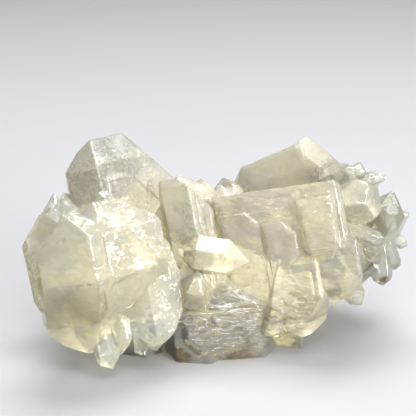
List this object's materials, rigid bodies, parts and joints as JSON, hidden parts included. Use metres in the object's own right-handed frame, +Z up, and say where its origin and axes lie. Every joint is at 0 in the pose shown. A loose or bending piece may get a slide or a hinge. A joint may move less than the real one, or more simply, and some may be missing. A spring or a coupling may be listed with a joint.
{
  "type": "quartz crystal cluster",
  "caption": "Hand specimen of pale, partly milky quartz: stubby crystals grown together, with stepped faces, clear plates below and a druse of small points at one end",
  "frame": {"origin": "on the surface it rests on, under the middle of its box", "axes": "+X along its length, to the right seen from its display side; +Y away from that side; +Z up"},
  "size_m": [0.115, 0.0814, 0.0621],
  "materials": {
    "quartz": "natural quartz crystal faces, glassy, clear to milky, faintly yellow"
  },
  "bodies": {
    "root": {"quartz_cluster": "quartz"}
  },
  "joints": []
}
